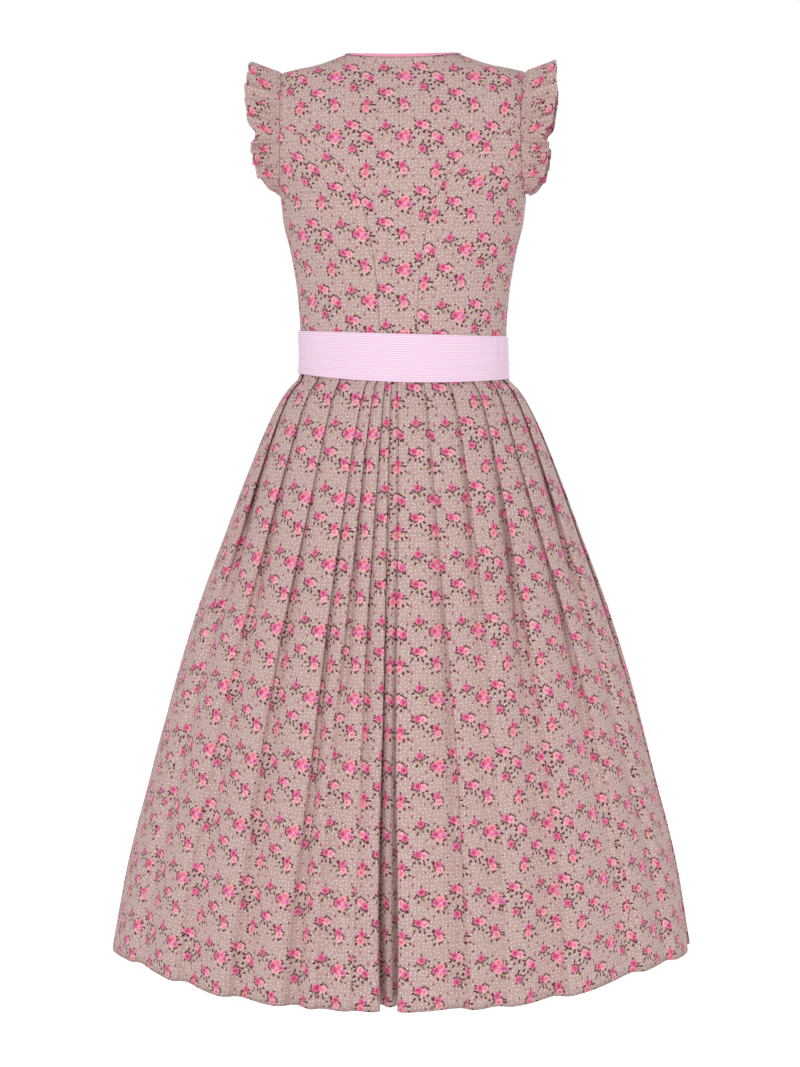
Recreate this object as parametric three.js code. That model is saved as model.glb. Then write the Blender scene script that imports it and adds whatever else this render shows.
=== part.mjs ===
// A sleeveless dirndl: panelled bodice, frilled armholes, waist sash and a pleated midi skirt,
// filled out as if worn. Millimetres, +Z up, the wearer faces -Y, the left arm is on +X.
// The origin lies level with the neck points, midway between the shoulders.
import * as THREE from 'three';

// ---- driving sizes -------------------------------------------------------------------------
const BODICE_WALL = 1.6;
const SKIRT_WALL = 2;
const FRILL_WALL = 1.6;
const SASH_WALL = 1.6;
const SEAM_GAP = 0.3;

const WAIST_SEAM = -372;
const SHOULDER_POINT = -21;
const ARMHOLE_MIDDLE = -95;
const NECK_HALF = 68;
const NECK_DROP_FRONT = 95;
const NECK_DIP_BACK = 7;
const NECK_DIP_FADES = 50;

const SASH_SLOPE = 0.027;
const SASH_EASE = 0.9;
const SASH_LAP = 14;
const SASH_STATIONS = 48;
const SASH_LEVELS = [-381, -376, -372, -358, -344, -330];
const SASH_DIP_BACK = 5;

const EDGING_WIDTH = 3;
const EDGING_WALL = 2.4;

const SKIRT_LENGTH = 699;
const HEM_DIP_BACK = 11.5;
const HEM_TILT = 2;
const HEM_RISE = { high: 14, turn: 60, spread: 22 };
const LEFT_FLARE = { slant: 2, kick: 6 };
const STEP_AT_WAIST = 2.4;
const STEP_LOWER = 10;
const STEP_SPREAD = 150;
const FOLD_RUN_WAIST = 2.5;
const FOLD_RUN_HEM = 20;
const FOLD_SETTLES = 40;

// ---- tables --------------------------------------------------------------------------------
// Level outlines of the body: half width, depth to the back, depth to the front, and how
// square the outline is (2 is an ellipse).
const BODY = [
  { height: -372, half: 123.6, back: 95, front: 97, square: 2.1 },
  { height: -330, half: 123.4, back: 94, front: 98, square: 2.15 },
  { height: -289, half: 126, back: 95, front: 107, square: 2.2 },
  { height: -259, half: 130, back: 97, front: 119, square: 2.2 },
  { height: -226, half: 136.5, back: 100, front: 131, square: 2.25 },
  { height: -199, half: 143.2, back: 102, front: 134, square: 2.3 },
  { height: -172, half: 146.4, back: 104, front: 129, square: 2.3 },
  { height: -140, half: 160, back: 105, front: 118, square: 2.3 },
  { height: -100, half: 172, back: 101, front: 106, square: 2.3 },
  { height: -60, half: 171, back: 88, front: 90, square: 2.3 },
  { height: -33, half: 158, back: 74, front: 73, square: 2.3 },
  { height: -21, half: 144, back: 67, front: 65, square: 2.3 },
  { height: -13, half: 106, back: 63, front: 60, square: 2.3 },
  { height: 0, half: 68, back: 60, front: 56, square: 2.3 },
];

// The skirt's outline by its drop below the waist seam.
const SKIRT = [
  { drop: 0, half: 123.6, back: 95, front: 97 },
  { drop: 9, half: 124.6, back: 96.5, front: 98.5 },
  { drop: 14, half: 127, back: 99, front: 100.5 },
  { drop: 22, half: 135.5, back: 106, front: 106 },
  { drop: 38, half: 147, back: 117, front: 116 },
  { drop: 73, half: 164.5, back: 133, front: 131 },
  { drop: 126, half: 186, back: 152, front: 148 },
  { drop: 204, half: 215, back: 180, front: 175 },
  { drop: 290, half: 247, back: 209, front: 203 },
  { drop: 380, half: 275, back: 234, front: 228 },
  { drop: 490, half: 303.5, back: 261, front: 254 },
  { drop: 600, half: 331, back: 285, front: 278 },
  { drop: 699, half: 347.5, back: 300, front: 293 },
];

// Distance of the armhole from the centre line.
const ARMHOLE = [
  { height: -172, half: 146 },
  { height: -140, half: 142.5 },
  { height: -95, half: 141.5 },
  { height: -50, half: 142 },
  { height: -27, half: 143.4 },
  { height: -21, half: 144.5 },
];

// Distance of the princess seams from the centre line.
const BACK_SEAM = [
  { height: -372, half: 21.5 },
  { height: -315, half: 22 },
  { height: -270, half: 25 },
  { height: -205, half: 34 },
  { height: -168, half: 47 },
  { height: -140, half: 62 },
  { height: -120, half: 82 },
  { height: -106, half: 104 },
  { height: -96, half: 122 },
  { height: -90, half: 134 },
  { height: -86, half: 141.6 },
];
const FRONT_SEAM = [
  { height: -372, half: 36 },
  { height: -315, half: 40 },
  { height: -259, half: 53 },
  { height: -205, half: 67 },
  { height: -172, half: 75 },
  { height: -145, half: 90 },
  { height: -125, half: 110 },
  { height: -111, half: 128 },
  { height: -102, half: 141.6 },
];

// Pleat folds in degrees round the skirt, from the centre back (0) over the wearer's right
// (90) and the centre front (180) to the left: where each lies at the waist, soon below it,
// and at the hem. Every fold faces the centre back, so the panel beyond it lies on top.
const FOLDS = [
  { waist: -97, lower: -92, hem: -92 },
  { waist: -78, lower: -63, hem: -60 },
  { waist: -53, lower: -46, hem: -45 },
  { waist: -35, lower: -30, hem: -31.5 },
  { waist: -17, lower: -16.5, hem: -19 },
  { waist: -3.6, lower: -2.4, hem: -1 },
  { waist: -0.6, lower: 1.6, hem: 2 },
  { waist: 14, lower: 14, hem: 16 },
  { waist: 28, lower: 28, hem: 22.5 },
  { waist: 45, lower: 41.5, hem: 35.5 },
  { waist: 62, lower: 52, hem: 56 },
  { waist: 80, lower: 68, hem: 69 },
  { waist: 97, lower: 92, hem: 92 },
  { waist: 111, lower: 107, hem: 107 },
  { waist: 126, lower: 121, hem: 122 },
  { waist: 140, lower: 136, hem: 137 },
  { waist: 153, lower: 150, hem: 151 },
  { waist: 166, lower: 164, hem: 165 },
  { waist: 194, lower: 196, hem: 195 },
  { waist: 207, lower: 210, hem: 209 },
  { waist: 220, lower: 224, hem: 223 },
  { waist: 234, lower: 239, hem: 238 },
  { waist: 249, lower: 253, hem: 253 },
];
// The skirt's side seams lie under the folds that leave the waist at these angles.
const SIDE_FOLDS = [-97, 97];

// The frill, station by station from the underarm up the armhole to the shoulder: how far it
// stands out sideways, and how far it rises away from the armhole.
const FRILL = [
  { height: -163, reach: 6, rise: 3 },
  { height: -158, reach: 16, rise: 9 },
  { height: -149, reach: 24, rise: 4 },
  { height: -137, reach: 29, rise: 14 },
  { height: -124, reach: 31, rise: 6 },
  { height: -111, reach: 33, rise: 15 },
  { height: -101, reach: 33, rise: 17 },
  { height: -92, reach: 29, rise: 3 },
  { height: -82, reach: 36, rise: 12 },
  { height: -70, reach: 39, rise: 7 },
  { height: -58, reach: 41, rise: 15 },
  { height: -47, reach: 41, rise: 7 },
  { height: -37, reach: 40, rise: 16 },
  { height: -29, reach: 39, rise: 7 },
];
const FRILL_CROWN = { reach: 36, rise: 15 };
const FRILL_ACROSS = [0, 0.35, 0.7, 1];

// ---- interpolation -------------------------------------------------------------------------
// A smooth curve through a table's column that never overshoots its rows.
function column(table, key, name) {
  const at = table.map((row) => row[key]);
  const value = table.map((row) => row[name]);
  const last = at.length - 1;
  const slope = at.slice(1).map((a, i) => (value[i + 1] - value[i]) / (a - at[i]));
  const tangent = at.map((_, i) => {
    if (i === 0) return slope[0];
    if (i === last) return slope[last - 1];
    const [before, after] = [slope[i - 1], slope[i]];
    return before * after <= 0 ? 0 : (2 * before * after) / (before + after);
  });
  return (where) => {
    const u = Math.min(Math.max(where, at[0]), at[last]);
    let i = 0;
    while (i < last - 1 && u > at[i + 1]) i += 1;
    const width = at[i + 1] - at[i];
    const t = (u - at[i]) / width;
    const rise = (3 - 2 * t) * t * t;
    const leave = t * (1 - t) * (1 - t) * width;
    const arrive = t * t * (t - 1) * width;
    return value[i] * (1 - rise) + value[i + 1] * rise + tangent[i] * leave + tangent[i + 1] * arrive;
  };
}

const body = {
  half: column(BODY, 'height', 'half'),
  back: column(BODY, 'height', 'back'),
  front: column(BODY, 'height', 'front'),
  square: column(BODY, 'height', 'square'),
};
const skirt = {
  half: column(SKIRT, 'drop', 'half'),
  back: column(SKIRT, 'drop', 'back'),
  front: column(SKIRT, 'drop', 'front'),
};
const backSeam = column(BACK_SEAM, 'height', 'half');
const frontSeam = column(FRONT_SEAM, 'height', 'half');
const armholeHalf = column(ARMHOLE, 'height', 'half');

const radians = THREE.MathUtils.degToRad;
const mix = THREE.MathUtils.lerp;

// ---- body surface --------------------------------------------------------------------------
// The point at an angle round from the centre back (0) over the wearer's right side (90) to
// the centre front (180), at a height.
function bodyPoint(turn, height) {
  const angle = radians(turn);
  const across = Math.sin(angle);
  const depth = Math.cos(angle) >= 0 ? body.back(height) : -body.front(height);
  const square = body.square(height);
  const away = Math.sqrt(Math.max(0, 1 - Math.abs(across) ** square));
  return new THREE.Vector3(-body.half(height) * across, depth * away, height);
}

// The outward direction there.
function bodyNormal(turn, height) {
  const small = 0.2;
  const top = Math.min(height + small, 0);
  const round = bodyPoint(turn + small, height).sub(bodyPoint(turn - small, height));
  const up = bodyPoint(turn, top).sub(bodyPoint(turn, height - small));
  return round.cross(up).normalize();
}

// A cell of a wall: its face point and its point on the reverse.
function bodyCell(turn, height, thickness) {
  const face = bodyPoint(turn, height);
  const normal = bodyNormal(turn, height);
  return { face, reverse: face.clone().addScaledVector(normal, -thickness), normal };
}

// ---- walls ---------------------------------------------------------------------------------
// Makes one closed solid from a grid of cells, as an open strip or joined up all round.
function wallGeometry(grid, joined = false) {
  const rows = grid.length;
  const columns = grid[0].length;
  const points = [];
  for (const side of ['face', 'reverse']) {
    for (const row of grid) {
      for (const cell of row) points.push(cell[side].x, cell[side].y, cell[side].z);
    }
  }
  const at = (side, i, j) => side * rows * columns + (i % rows) * columns + j;
  const triangles = [];
  const quad = (a, b, c, d) => triangles.push(a, b, c, a, c, d);
  const steps = joined ? rows : rows - 1;
  for (let i = 0; i < steps; i += 1) {
    for (let j = 0; j < columns - 1; j += 1) {
      quad(at(0, i, j), at(0, i + 1, j), at(0, i + 1, j + 1), at(0, i, j + 1));
      quad(at(1, i, j), at(1, i, j + 1), at(1, i + 1, j + 1), at(1, i + 1, j));
    }
    quad(at(0, i, 0), at(1, i, 0), at(1, i + 1, 0), at(0, i + 1, 0));
    const end = columns - 1;
    quad(at(0, i, end), at(0, i + 1, end), at(1, i + 1, end), at(1, i, end));
  }
  for (let j = 0; j < columns - 1 && !joined; j += 1) {
    const end = rows - 1;
    quad(at(0, 0, j), at(0, 0, j + 1), at(1, 0, j + 1), at(1, 0, j));
    quad(at(0, end, j), at(1, end, j), at(1, end, j + 1), at(0, end, j + 1));
  }
  const geometry = new THREE.BufferGeometry();
  geometry.setAttribute('position', new THREE.Float32BufferAttribute(points, 3));
  geometry.setIndex(facingOut(points, triangles));
  geometry.computeVertexNormals();
  return geometry;
}

// Turns the triangles round if together they enclose a negative volume.
function facingOut(points, triangles) {
  const corner = (index) => new THREE.Vector3().fromArray(points, index * 3);
  let volume = 0;
  for (let i = 0; i < triangles.length; i += 3) {
    const [a, b, c] = [corner(triangles[i]), corner(triangles[i + 1]), corner(triangles[i + 2])];
    volume += a.dot(b.cross(c));
  }
  return volume < 0 ? triangles.toReversed() : triangles;
}

// ---- materials -----------------------------------------------------------------------------
const print = () => new THREE.MeshStandardMaterial({ color: 0xc2a59f, roughness: 0.85, metalness: 0 });
const stripe = () => new THREE.MeshStandardMaterial({ color: 0xf0cfe6, roughness: 0.7, metalness: 0 });
const pink = () => new THREE.MeshStandardMaterial({ color: 0xee8fb8, roughness: 0.75, metalness: 0 });

const dirndl = new THREE.Group();

function addPiece(name, grid, material, joined = false) {
  const mesh = new THREE.Mesh(wallGeometry(grid, joined), material);
  mesh.name = name;
  dirndl.add(mesh);
}

// ---- bodice --------------------------------------------------------------------------------
// Half the sideways room that a slanting seam needs so that its edges stay a gap apart.
function seamRoom(seam, height) {
  const slant = (seam(height + 0.5) - seam(height - 0.5));
  return (SEAM_GAP / 2) * Math.hypot(1, slant);
}

// The largest angle from the centre at which the side or shoulder seam still leaves its gap.
function sideLimit(height, depth) {
  return 90 - THREE.MathUtils.radToDeg(SEAM_GAP / 2 / (depth * Math.sqrt(body.square(height) / 2)));
}

// The angle at which a level is so far from the centre line, at the most at the armhole and
// never past the side or shoulder seam.
function turnAt(height, half, depth) {
  const widest = Math.min(half, armholeHalf(height)) / body.half(height);
  const limit = sideLimit(height, depth);
  return widest >= 1 ? limit : Math.min(limit, THREE.MathUtils.radToDeg(Math.asin(widest)));
}

// A panel: at each height it runs from one angle to another, and it may dip there. The
// wearer's side is 1 for the right and -1 for the left, and front panels count their angles
// from the centre front.
function panel(heights, from, to, across, place, dip = () => 0) {
  return heights.map((height) => {
    const row = [];
    for (let j = 0; j <= across; j += 1) {
      const turn = mix(from(height), to(height), j / across);
      row.push(bodyCell(place(turn), height - dip(turn, height), BODICE_WALL));
    }
    return row;
  });
}

const below = (limit) => (height) => height < limit;

const bodiceFoot = WAIST_SEAM + SEAM_GAP / 2;
const LOW = [bodiceFoot, -334, -326, -310, -289, -259, -226, -199, -184, -172];
const BACK_HEIGHTS = [
  ...LOW, -165, -154, -140, -130, -120, -112, -105, -98, -93, -89,
  -86, -70, -50, -39, -32, -27, -21, -13, 0,
];
const FRONT_HEIGHTS = [
  ...LOW, -165, -154, -145, -135, -125, -117, -110, -105,
  -102, -95, -93.5, -88, -78, -62, -46, -36, -31, -27, -21, -13, -1.5,
];
const BACK_SEAM_TOP = -86;
const FRONT_SEAM_TOP = -102;

const backDepth = (height) => body.back(height);
const frontDepth = (height) => body.front(height);

function outerTurn(height, depthOf) {
  return turnAt(height, armholeHalf(height), depthOf(height));
}

// The centre back panel reaches the princess seams below and the armholes above them.
function backCentreTurn(height) {
  if (height >= BACK_SEAM_TOP) return outerTurn(height, backDepth);
  return turnAt(height, backSeam(height) - seamRoom(backSeam, height), backDepth(height));
}
// The back neckline dips in the middle, and the levels just below it follow.
function backNeckDip(turn, height) {
  const near = Math.max(0, 1 + height / NECK_DIP_FADES);
  return NECK_DIP_BACK * near * Math.cos(radians(turn)) ** 2;
}
const backCentreGrid = panel(
  BACK_HEIGHTS,
  (height) => -backCentreTurn(height),
  backCentreTurn,
  8,
  (turn) => turn,
  backNeckDip,
);
addPiece('back_centre', backCentreGrid, print());

// The neck's front curve, as its distance from the centre line.
function frontNeckHalf(height) {
  if (height <= -NECK_DROP_FRONT) return SEAM_GAP / 2;
  const down = -height / NECK_DROP_FRONT;
  return Math.max(SEAM_GAP / 2, NECK_HALF * Math.sqrt(1 - down * down));
}

function frontCentreOuter(height) {
  if (height >= FRONT_SEAM_TOP) return outerTurn(height, frontDepth);
  return turnAt(height, frontSeam(height) - seamRoom(frontSeam, height), frontDepth(height));
}

const SIDES = [
  { name: 'left', sign: -1 },
  { name: 'right', sign: 1 },
];
const frontCentreGrids = {};
for (const { name, sign } of SIDES) {
  const fromBack = (turn) => sign * turn;
  const fromFront = (turn) => sign * (180 - turn);
  const backSide = panel(
    BACK_HEIGHTS.filter(below(BACK_SEAM_TOP)),
    (height) => turnAt(height, backSeam(height) + seamRoom(backSeam, height), backDepth(height)),
    (height) => outerTurn(height, backDepth),
    4,
    fromBack,
  );
  addPiece(`back_side_${name}`, backSide, print());
  const frontSide = panel(
    FRONT_HEIGHTS.filter(below(FRONT_SEAM_TOP)),
    (height) => turnAt(height, frontSeam(height) + seamRoom(frontSeam, height), frontDepth(height)),
    (height) => outerTurn(height, frontDepth),
    4,
    fromFront,
  );
  addPiece(`front_side_${name}`, frontSide, print());
  frontCentreGrids[name] = panel(
    FRONT_HEIGHTS,
    (height) => turnAt(height, frontNeckHalf(height), frontDepth(height)),
    frontCentreOuter,
    4,
    fromFront,
  );
  addPiece(`front_centre_${name}`, frontCentreGrids[name], print());
}

// ---- neck edging ---------------------------------------------------------------------------
// It follows the panels' own neck points, moved up off their edge, from the centre front up
// one side, round the back and down the other side.
function neckStations() {
  const frontEdge = (name) => frontCentreGrids[name]
    .map((row) => row[0])
    .filter((cell) => cell.face.z >= -NECK_DROP_FRONT);
  const backEdge = backCentreGrid[backCentreGrid.length - 1];
  return [...frontEdge('left'), ...backEdge, ...frontEdge('right').reverse()];
}

function neckGrid() {
  const stations = neckStations();
  return stations.map((cell, i) => {
    const before = stations[Math.max(i - 1, 0)].face;
    const after = stations[Math.min(i + 1, stations.length - 1)].face;
    const along = after.clone().sub(before).normalize();
    const outward = cell.normal;
    const up = outward.clone().cross(along).normalize();
    if (up.z < 0) up.negate();
    return [SEAM_GAP * 2, EDGING_WIDTH].map((lift) => {
      const middle = cell.face.clone().addScaledVector(outward, -BODICE_WALL / 2);
      middle.addScaledVector(up, lift);
      return {
        face: middle.clone().addScaledVector(outward, EDGING_WALL / 2),
        reverse: middle.clone().addScaledVector(outward, -EDGING_WALL / 2),
      };
    });
  });
}
addPiece('neck_edge', neckGrid(), pink());

// ---- armhole frills ------------------------------------------------------------------------
// A frill's root follows the armhole. Each station stands out sideways and rises away from
// the armhole's middle, and neighbours rise by turns more and less, as gathers do.
function frillStation(sign, facing, { height, reach, rise }) {
  const depthOf = facing > 0 ? backDepth : frontDepth;
  const turn = height >= SHOULDER_POINT ? 90 : outerTurn(height, depthOf);
  const root = bodyPoint(sign * (facing > 0 ? turn : 180 - turn), height);
  const outward = -sign;
  root.x = outward * (armholeHalf(height) + SEAM_GAP * 1.5);
  const away = new THREE.Vector3(0, root.y, height - ARMHOLE_MIDDLE).normalize();
  return FRILL_ACROSS.map((part) => {
    const middle = root.clone().addScaledVector(away, rise * part ** 1.3);
    middle.x += outward * reach * part;
    return {
      face: middle.clone().addScaledVector(away, FRILL_WALL / 2),
      reverse: middle.clone().addScaledVector(away, -FRILL_WALL / 2),
    };
  });
}

for (const { name, sign } of SIDES) {
  const up = FRILL.map((row) => frillStation(sign, 1, row));
  const crown = frillStation(sign, 1, { height: SHOULDER_POINT, ...FRILL_CROWN });
  const down = FRILL.map((row) => frillStation(sign, -1, row)).reverse();
  addPiece(`frill_${name}`, [...up, crown, ...down], print());
}

// ---- skirt ---------------------------------------------------------------------------------
// The skirt's outline point at an angle and a drop, sunk by so much below the outline. The hem
// hangs lowest at the back, rises a little on the way to the sides, and flares on the left.
function skirtPoint(turn, drop, sink) {
  const angle = radians(turn);
  const back = Math.cos(angle) >= 0;
  const half = skirt.half(drop);
  const depth = back ? skirt.back(drop) : skirt.front(drop);
  const point = new THREE.Vector3(-half * Math.sin(angle), depth * Math.cos(angle), WAIST_SEAM - drop);
  const inward = new THREE.Vector3(Math.sin(angle) / half, -Math.cos(angle) / depth, 0).normalize();
  const down = drop / SKIRT_LENGTH;
  const aside = THREE.MathUtils.radToDeg(Math.asin(Math.abs(Math.sin(angle))));
  const rise = HEM_RISE.high * Math.exp(-(((aside - HEM_RISE.turn) / HEM_RISE.spread) ** 2));
  point.z -= down * (HEM_DIP_BACK * Math.max(0, Math.cos(angle)) - HEM_TILT * Math.sin(angle) - rise);
  point.x += (LEFT_FLARE.slant * down + LEFT_FLARE.kick * down ** 6) * Math.max(0, -Math.sin(angle)) ** 2;
  return { point: point.addScaledVector(inward, sink), inward };
}

function skirtCell(turn, drop, sink) {
  const { point, inward } = skirtPoint(turn, drop, sink);
  return { face: point, reverse: point.clone().addScaledVector(inward, SKIRT_WALL) };
}

// How far round a fold lies at a drop: it leaves its waist angle and soon keeps its lower one.
function foldTurn(fold, drop) {
  const settled = mix(fold.lower, fold.hem, drop / SKIRT_LENGTH);
  return mix(settled, fold.waist, Math.exp(-drop / FOLD_SETTLES));
}

// How deep the under layer lies at a fold, and how many degrees its slope takes.
function foldStep(drop) {
  return mix(STEP_LOWER, STEP_AT_WAIST, Math.exp(-drop / STEP_SPREAD));
}
function foldRun(drop) {
  const run = mix(FOLD_RUN_WAIST, FOLD_RUN_HEM, drop / SKIRT_LENGTH);
  return THREE.MathUtils.radToDeg(run / skirt.half(drop));
}

// The stops of one fold: a low point under it and its own edge on top. Folds face the centre
// back, so the edge is on the side away from it.
function foldStops(fold, drop) {
  const edge = foldTurn(fold, drop);
  const away = fold.hem > 0 && fold.hem < 180 ? 1 : -1;
  const low = { turn: edge - (away * foldRun(drop)) / 2, sink: 1 };
  const high = { turn: edge + (away * foldRun(drop)) / 2, sink: 0 };
  return away > 0 ? [low, high] : [high, low];
}

// One row of a skirt piece, from fold to fold with a point in the middle of each panel. At its
// two ends a piece keeps the stops that are its own and leaves the seam its gap.
function skirtRow(folds, drop, trim) {
  const stops = [];
  folds.forEach((fold) => {
    const [near, far] = foldStops(fold, drop);
    const before = stops[stops.length - 1];
    if (before) stops.push({ turn: (before.turn + near.turn) / 2, sink: (before.sink + near.sink) / 2 });
    stops.push(near, far);
  });
  const kept = stops.slice(trim, stops.length - trim);
  const room = THREE.MathUtils.radToDeg(SEAM_GAP / 2 / skirt.back(drop));
  kept[0].turn += room;
  kept[kept.length - 1].turn -= room;
  return kept.map(({ turn, sink }) => skirtCell(turn, drop, sink * foldStep(drop)));
}

const SKIRT_DROPS = [SEAM_GAP / 2, ...SKIRT.slice(1).map((row) => row.drop)];

const [leftSide, rightSide] = SIDE_FOLDS.map((waist) => FOLDS.findIndex((fold) => fold.waist === waist));
const onceRound = ({ waist, lower, hem }) => ({ waist: waist + 360, lower: lower + 360, hem: hem + 360 });
const backFolds = FOLDS.slice(leftSide, rightSide + 1);
const frontFolds = [...FOLDS.slice(rightSide), onceRound(FOLDS[leftSide])];
addPiece('skirt_back', SKIRT_DROPS.map((drop) => skirtRow(backFolds, drop, 1)), print());
addPiece('skirt_front', SKIRT_DROPS.map((drop) => skirtRow(frontFolds, drop, 0)), print());

// ---- sash ----------------------------------------------------------------------------------
// The girth that the sash lies on: the bodice above the waist seam, the skirt below it.
function girthPoint(turn, height) {
  if (height >= WAIST_SEAM) return bodyPoint(turn, height);
  return skirtPoint(turn, WAIST_SEAM - height, 0).point;
}

// The sash starts at the centre front, goes once round and laps over its own start. It slopes
// a little to one side, and its lower edge dips at the back.
function sashGrid() {
  const start = 180 - SASH_LAP;
  const end = 540 + SASH_LAP;
  const grid = [];
  for (let i = 0; i <= SASH_STATIONS; i += 1) {
    const turn = mix(start, end, i / SASH_STATIONS);
    const over = THREE.MathUtils.smoothstep(turn, 540 - SASH_LAP * 3, 540 - SASH_LAP * 1.5);
    const ease = SASH_EASE + over * (SASH_WALL + SEAM_GAP);
    const dip = SASH_DIP_BACK * Math.max(0, Math.cos(radians(turn))) ** 2;
    grid.push(SASH_LEVELS.map((level) => {
      const side = girthPoint(turn, level);
      const down = (SASH_LEVELS.at(-1) - level) / (SASH_LEVELS.at(-1) - SASH_LEVELS[0]);
      const height = level + SASH_SLOPE * side.x - dip * down;
      const inner = girthPoint(turn, height);
      const outward = new THREE.Vector3(inner.x, inner.y, 0).normalize();
      return {
        face: inner.clone().addScaledVector(outward, ease + SASH_WALL),
        reverse: inner.clone().addScaledVector(outward, ease),
      };
    }));
  }
  return grid;
}
addPiece('sash', sashGrid(), stripe());

export default dirndl;
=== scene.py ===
# %% [markdown]
# # A pleated dirndl with frilled armholes
#
# This lesson dresses a packed set of plain solids in real cloth. The dress is a sleeveless
# bodice cut in panels, with a gathered frill round each armhole, a wide striped sash and a
# full skirt laid in pleats. Every piece of cloth is made the way a maker handles it: it is
# laid out flat as a grid, and then each of its points is carried to its place on the figure.
# The grid remembers where each point was on the flat cloth, so the print follows the folds.
#
# The frame comes first. It holds the solids, which say how big everything is. They stay where
# they are, and each new piece of cloth takes the place of one of them.

# %% Load the frame
import math

import bpy
import numpy as np
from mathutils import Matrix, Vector


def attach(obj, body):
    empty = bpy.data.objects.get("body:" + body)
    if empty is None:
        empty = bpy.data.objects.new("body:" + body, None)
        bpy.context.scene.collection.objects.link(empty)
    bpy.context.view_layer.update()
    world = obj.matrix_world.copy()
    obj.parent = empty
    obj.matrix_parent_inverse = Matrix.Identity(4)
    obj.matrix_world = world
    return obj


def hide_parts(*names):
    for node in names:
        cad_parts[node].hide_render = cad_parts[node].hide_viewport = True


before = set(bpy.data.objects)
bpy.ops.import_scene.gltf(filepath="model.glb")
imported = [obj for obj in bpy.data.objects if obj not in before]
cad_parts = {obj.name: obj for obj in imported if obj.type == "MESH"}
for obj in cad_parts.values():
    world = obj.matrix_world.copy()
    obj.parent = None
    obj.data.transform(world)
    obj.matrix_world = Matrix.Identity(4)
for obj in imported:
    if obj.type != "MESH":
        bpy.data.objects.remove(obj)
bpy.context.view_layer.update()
bpy.ops.object.select_all(action="DESELECT")

MM = 0.001

# %% [markdown]
# ## Camera
#
# The dress is looked at from behind, a few degrees off centre, from a few steps away and from
# the height of the waist. A long lens keeps its proportions true.

# %% Camera
CAMERA_DISTANCE = 3.4
CAMERA_TURN = math.radians(184)
CAMERA_HEIGHT = -0.332
AIM = Vector((0.004, 0, -0.570))
WIDTH_SEEN = 0.96

camera_data = bpy.data.cameras.new("camera")
camera = bpy.data.objects.new("camera", camera_data)
bpy.context.collection.objects.link(camera)
camera.location = (
    AIM.x + CAMERA_DISTANCE * math.sin(CAMERA_TURN),
    -CAMERA_DISTANCE * math.cos(CAMERA_TURN),
    CAMERA_HEIGHT,
)
camera.rotation_euler = (AIM - camera.location).to_track_quat("-Z", "Y").to_euler()
camera_data.sensor_fit = "HORIZONTAL"
camera_data.sensor_width = 36
camera_data.lens = camera_data.sensor_width * CAMERA_DISTANCE / WIDTH_SEEN
bpy.context.scene.camera = camera
bpy.context.scene.view_settings.view_transform = "Standard"
print("lens", round(camera_data.lens, 1), "mm")

# %% [markdown]
# ## Tables and smooth curves
#
# A dressmaker's block is a short table: how wide and how deep the body is at each height.
# Between the rows a smooth curve is drawn that never swings past them.


# %% Tables
def table(names, rows):
    """A table's columns by name."""
    return dict(zip(names.split(), np.array(rows, float).T))


def curve(rows, along, name):
    """A smooth curve through one column of a table, against another."""
    at, value = rows[along], rows[name]
    slope = np.diff(value) / np.diff(at)
    both = slope[:-1] * slope[1:]
    middle = np.where(both > 0, 2 * both / np.where(both > 0, slope[:-1] + slope[1:], 1), 0)
    tangent = np.concatenate(([slope[0]], middle, [slope[-1]]))

    def read(where):
        u = np.clip(where, at[0], at[-1])
        i = np.clip(np.searchsorted(at, u) - 1, 0, len(at) - 2)
        width = at[i + 1] - at[i]
        t = (u - at[i]) / width
        rise = (3 - 2 * t) * t * t
        leave = t * (1 - t) ** 2 * width * tangent[i]
        arrive = t * t * (t - 1) * width * tangent[i + 1]
        return value[i] * (1 - rise) + value[i + 1] * rise + leave + arrive

    return read


def smooth(x):
    """From 0 to 1, gently at both ends."""
    x = np.clip(x, 0, 1)
    return x * x * (3 - 2 * x)


def mix(a, b, t):
    """From a to b by the part t."""
    return a + (b - a) * t


# %% [markdown]
# ## From flat cloth to a shell
#
# One helper makes every piece of cloth. It adds a flat grid, moves its points to where the
# piece hangs, and writes where each point was on the flat cloth, in metres, into the UV map.
# Solidify then gives the shell its thickness, on the wearer's side.


# %% Cloth helper
def cloth(name, points, flat, thickness=0.7):
    """A shell from rows of points and their places on the flat cloth, all in millimetres."""
    rows, columns = points.shape[:2]
    bpy.ops.mesh.primitive_grid_add(x_subdivisions=columns - 1, y_subdivisions=rows - 1, size=1)
    piece = bpy.context.object
    piece.name = piece.data.name = name
    mesh = piece.data
    mesh.vertices.foreach_set("co", (points * MM).ravel())
    corner = np.empty(len(mesh.loops), int)
    mesh.loops.foreach_get("vertex_index", corner)
    mesh.uv_layers[0].name = "flat"
    mesh.uv_layers[0].data.foreach_set("uv", (flat.reshape(-1, 2) * MM)[corner].ravel())
    mesh.update()
    bpy.ops.object.shade_smooth()
    wall = piece.modifiers.new("wall", "SOLIDIFY")
    wall.thickness = thickness * MM
    wall.offset = -1
    wall.material_offset = 1
    wall.material_offset_rim = 0
    bpy.ops.object.modifier_apply(modifier=wall.name)
    piece.select_set(False)
    return piece


def lengths(points):
    """Running length along the last but one axis of some points."""
    step = np.linalg.norm(np.diff(points, axis=-2), axis=-1)
    start = np.zeros(step.shape[:-1] + (1,))
    return np.concatenate((start, np.cumsum(step, axis=-1)), axis=-1)
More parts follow.
